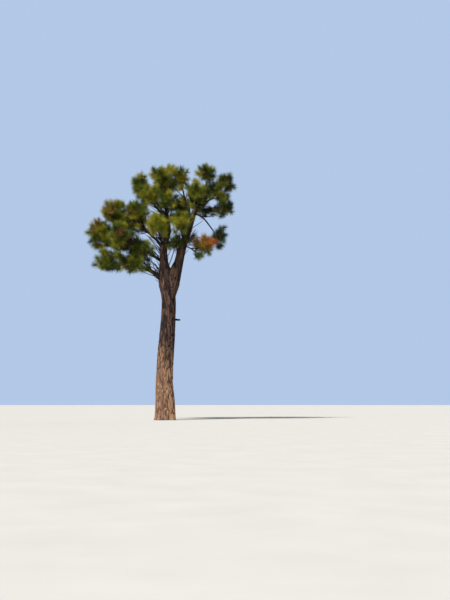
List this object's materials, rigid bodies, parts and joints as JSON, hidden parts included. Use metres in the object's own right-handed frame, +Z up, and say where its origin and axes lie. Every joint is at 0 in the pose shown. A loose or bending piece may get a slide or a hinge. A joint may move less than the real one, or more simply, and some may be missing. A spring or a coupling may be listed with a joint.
{
  "type": "pine tree",
  "caption": "Lone mountain pine: a bare flared trunk that forks into two leaders, with spreading boughs that end in open masses of long needles.",
  "frame": {"origin": "middle of the flat cut under the trunk, at ground level", "axes": "+Z up, -Y towards the front that the picture shows, +X to the right of that view, the side that the right leader leans to"},
  "size_m": [3.6801, 2.4287, 6.3085],
  "materials": {
    "bark": "rough furrowed bark, reddish brown with tan plates",
    "dead_wood": "weathered dead wood",
    "needles": "olive green needles, satin"
  },
  "bodies": {
    "root": {"back_centre_bough": "bark", "back_centre_foliage": "needles", "back_left_bough": "bark", "back_left_foliage": "needles", "back_low_left_bough": "bark", "back_low_left_foliage": "needles", "back_mid_bough": "bark", "back_mid_foliage": "needles", "back_right_bough": "bark", "back_right_foliage": "needles", "back_top_bough": "bark", "back_top_foliage": "needles", "bare_twig": "dead_wood", "centre_left_bough": "bark", "centre_left_foliage": "needles", "centre_right_bough": "bark", "centre_right_foliage": "needles", "dead_stub": "dead_wood", "fork_spray_foliage": "needles", "heart_bough": "bark", "heart_foliage": "needles", "high_left_bough": "bark", "high_left_foliage": "needles", "inner_left_foliage": "needles", "left_front_bough": "bark", "left_front_foliage": "needles", "left_heart_bough": "bark", "left_heart_foliage": "needles", "left_shoulder_bough": "bark", "left_shoulder_foliage": "needles", "low_left_bough": "bark", "low_left_foliage": "needles", "low_spray_bough": "bark", "low_spray_foliage": "needles", "mid_left_bough": "bark", "mid_left_foliage": "needles", "outer_left_bough": "bark", "outer_left_foliage": "needles", "outer_low_left_bough": "bark", "outer_low_left_foliage": "needles", "right_inner_bough": "bark", "right_inner_foliage": "needles", "right_leader": "bark", "right_low_inner_bough": "bark", "right_low_inner_foliage": "needles", "right_low_outer_bough": "bark", "right_low_outer_foliage": "needles", "right_mid_bough": "bark", "right_mid_foliage": "needles", "right_outer_bough": "bark", "right_outer_foliage": "needles", "right_outer_top_bough": "bark", "right_outer_top_foliage": "needles", "right_top_foliage": "needles", "top_left_foliage": "needles", "top_right_bough": "bark", "top_right_foliage": "needles", "trunk": "bark", "upper_left_bough": "bark", "upper_left_foliage": "needles"}
  },
  "joints": []
}
